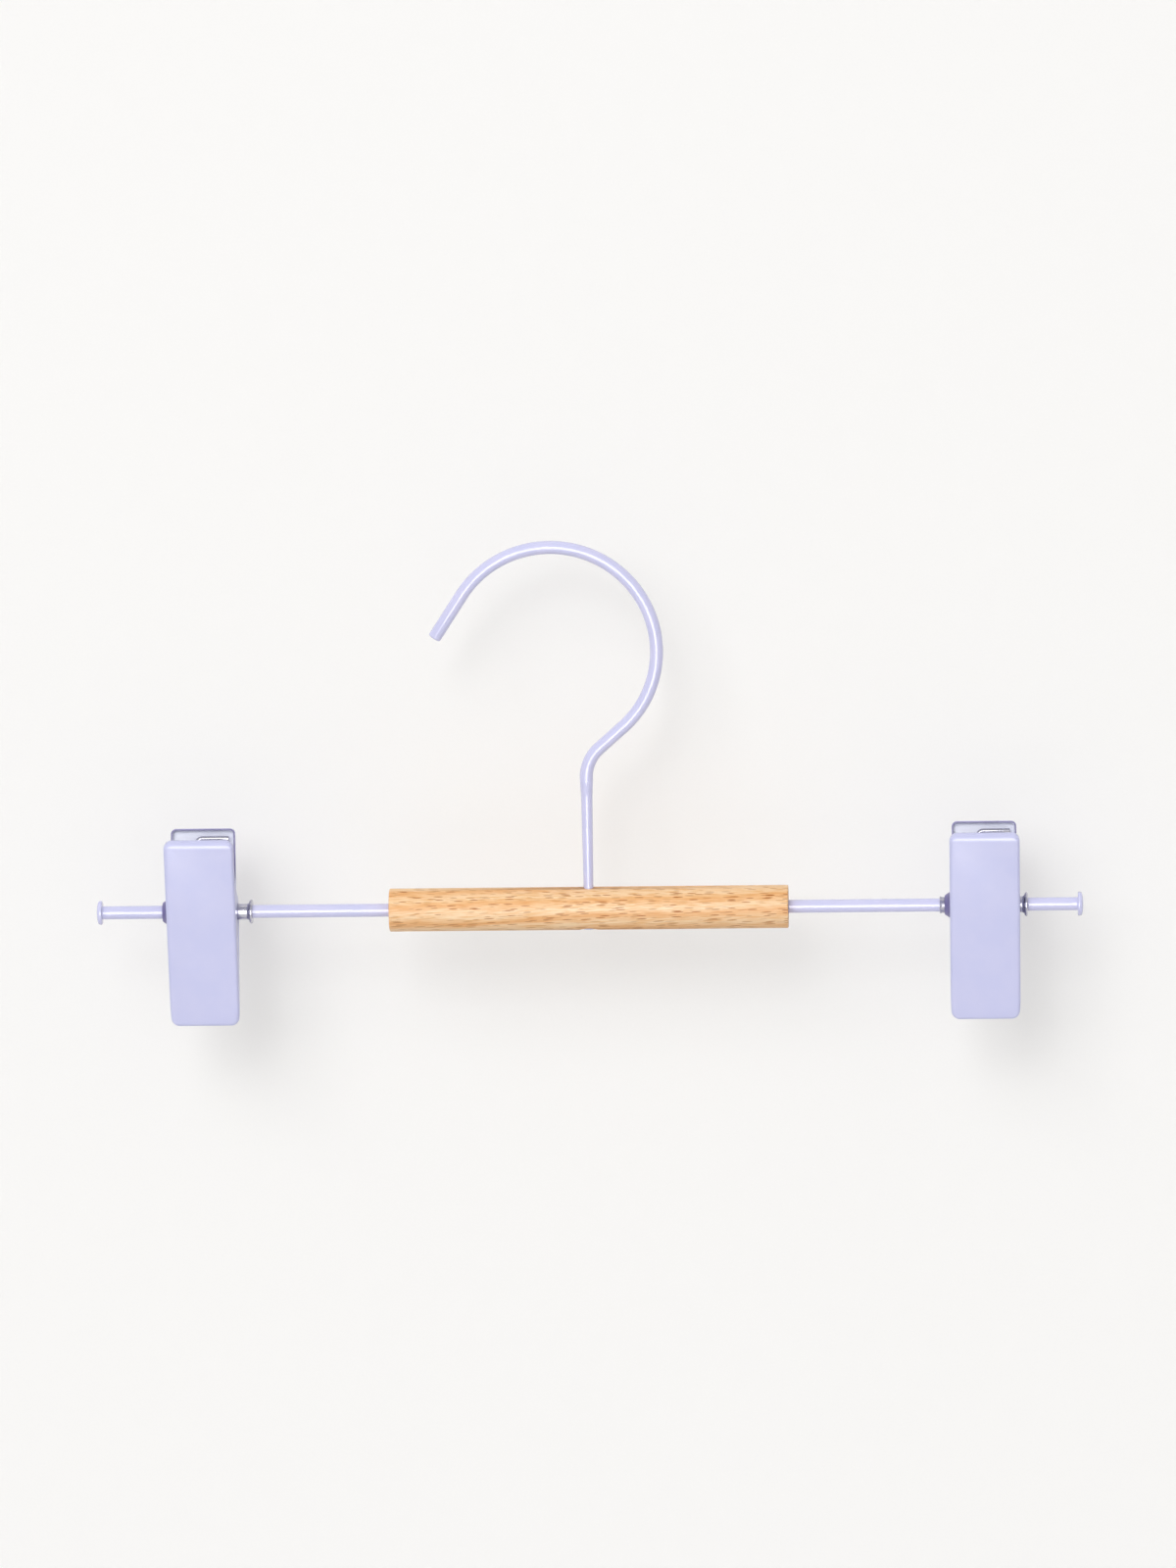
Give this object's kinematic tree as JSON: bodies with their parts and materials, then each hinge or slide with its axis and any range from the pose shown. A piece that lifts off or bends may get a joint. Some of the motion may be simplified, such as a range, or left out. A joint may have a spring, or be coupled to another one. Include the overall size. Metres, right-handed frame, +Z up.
{
  "type": "clip hanger",
  "caption": "Clip hanger: wooden grip on two coated rods, a turning wire hook, and sprung sheet-steel clips that slide and swing on the rods.",
  "frame": {"origin": "inner top of the hook, where the hanger hangs on a rail", "axes": "+X along the bar to the right, +Y to the back, +Z up, as the hanger hangs"},
  "size_m": [0.3, 0.0204, 0.1488],
  "materials": {
    "wood": "turned beech, sanded, left matt",
    "coated_wire": "steel wire, smooth pale lilac-white coating, satin",
    "coated_sheet": "pressed sheet steel, the same coating, satin",
    "plated_steel": "bright nickel plate",
    "soft_pad": "moulded off-white soft plastic, matt"
  },
  "bodies": {
    "bar": {"grip": "wood", "left_rod": "coated_wire", "right_rod": "coated_wire", "hook_washer": "plated_steel"},
    "hook": {"hook": "coated_wire"},
    "left_slider": {"left_hinge_tube": "plated_steel"},
    "left_clip_back": {"left_back_plate": "coated_sheet", "left_back_pad": "soft_pad", "left_spring": "plated_steel"},
    "left_clip_front": {"left_front_plate": "coated_sheet", "left_front_pad": "soft_pad"},
    "right_slider": {"right_hinge_tube": "plated_steel"},
    "right_clip_back": {"right_back_plate": "coated_sheet", "right_back_pad": "soft_pad", "right_spring": "plated_steel"},
    "right_clip_front": {"right_front_plate": "coated_sheet", "right_front_pad": "soft_pad"}
  },
  "joints": [
    {"name": "hook_turn", "type": "hinge", "parent": "bar", "child": "hook", "pos_m": [0.01, 0, -0.1095], "axis": [0, 0, 1], "continuous": true},
    {"name": "left_slide", "type": "slide", "parent": "bar", "child": "left_slider", "axis": [1, 0, 0], "range_m": [-0.01815, 0.0415]},
    {"name": "left_swing", "type": "hinge", "parent": "left_slider", "child": "left_clip_back", "pos_m": [-0.10765, 0, -0.1095], "axis": [1, 0, 0], "continuous": true},
    {"name": "left_open", "type": "hinge", "parent": "left_clip_back", "child": "left_clip_front", "pos_m": [-0.10765, 0, -0.1095], "axis": [-1, 0, 0], "range_deg": [0, 32], "stiffness_Nm_per_rad": 0.4, "springref_deg": -8.59, "deforming": ["left_spring"]},
    {"name": "right_slide", "type": "slide", "parent": "bar", "child": "right_slider", "axis": [1, 0, 0], "range_m": [-0.0456, 0.0149]},
    {"name": "right_swing", "type": "hinge", "parent": "right_slider", "child": "right_clip_back", "pos_m": [0.13015, 0, -0.1095], "axis": [1, 0, 0], "continuous": true},
    {"name": "right_open", "type": "hinge", "parent": "right_clip_back", "child": "right_clip_front", "pos_m": [0.13015, 0, -0.1095], "axis": [-1, 0, 0], "range_deg": [0, 32], "stiffness_Nm_per_rad": 0.4, "springref_deg": -8.59, "deforming": ["right_spring"]}
  ]
}
